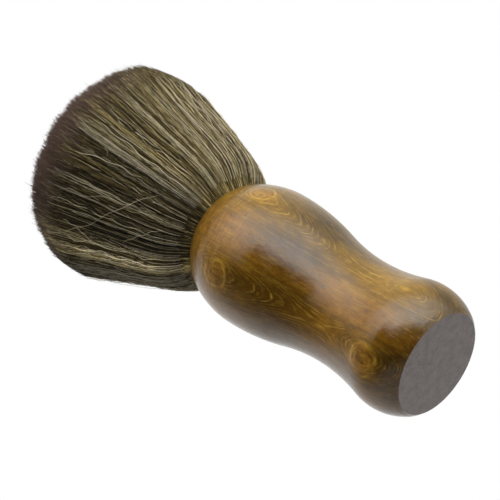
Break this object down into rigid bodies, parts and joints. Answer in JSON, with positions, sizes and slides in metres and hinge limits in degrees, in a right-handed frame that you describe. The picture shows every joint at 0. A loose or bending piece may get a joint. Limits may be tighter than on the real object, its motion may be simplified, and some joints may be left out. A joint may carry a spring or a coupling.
{
  "type": "neck duster brush",
  "caption": "Neck duster brush: a turned wooden handle with a flat foot, and a wide domed tuft of soft fibres glued into its head, for sweeping cut hair off the neck.",
  "frame": {"origin": "centre of the handle's flat foot", "axes": "+Z along the brush's axis, from the foot to the fibre tips; the brush is round about Z, so +X and +Y are free"},
  "size_m": [0.0723, 0.0727, 0.149],
  "materials": {
    "varnished_wood": "gloss varnish over turned, open-grained hardwood",
    "adhesive": "hardened clear amber adhesive",
    "resin": "cast resin, dark, smooth",
    "cord": "waxed twisted cord",
    "core_fibre": "fine fibres, dark olive brown",
    "outer_fibre": "fine fibres, olive brown, low sheen",
    "pale_fibre": "fine fibres, pale straw, low sheen",
    "stray_fibre": "fine fibres, mid brown, low sheen"
  },
  "bodies": {
    "root": {"handle": "varnished_wood", "socket_adhesive": "adhesive", "root_plug": "resin", "binding_cord": "cord", "core_fibres": "core_fibre", "outer_fibres": "outer_fibre", "pale_fibres": "pale_fibre", "stray_fibres": "stray_fibre"}
  },
  "joints": []
}
